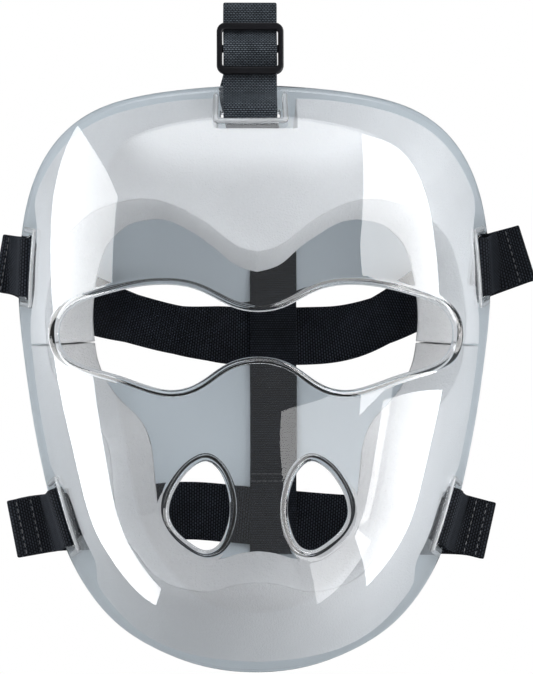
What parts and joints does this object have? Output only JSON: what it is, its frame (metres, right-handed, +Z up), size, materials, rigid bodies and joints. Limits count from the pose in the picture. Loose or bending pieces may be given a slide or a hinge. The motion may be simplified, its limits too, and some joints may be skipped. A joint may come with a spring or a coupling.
{
  "type": "field hockey face mask",
  "caption": "Clear bent face mask with eye opening, breathing vents, foam pads and an elastic head harness with webbing and slide buckle, lying face up on its straps.",
  "frame": {"origin": "under the middle of the whole mask with its straps, on the surface that it lies on", "axes": "+Z up, out of the face; +Y from chin to forehead, along the longest extent; +X towards the wearer's left, on the right as seen from the front"},
  "size_m": [0.2346, 0.2824, 0.108],
  "materials": {
    "shell": "clear smoky polycarbonate, glossy",
    "forehead_pad": "pale closed-cell foam, matt",
    "chin_pad": "pale closed-cell foam, matt",
    "upper_elastic": "black woven elastic",
    "lower_elastic": "black woven elastic",
    "crown_elastic": "black ribbed elastic",
    "crown_webbing": "black twill webbing with a slight sheen",
    "slide_buckle": "satin black nylon"
  },
  "bodies": {
    "root": {"shell": "shell", "forehead_pad": "forehead_pad", "chin_pad": "chin_pad", "upper_elastic": "upper_elastic", "lower_elastic": "lower_elastic", "crown_elastic": "crown_elastic", "crown_webbing": "crown_webbing", "slide_buckle": "slide_buckle"}
  },
  "joints": []
}
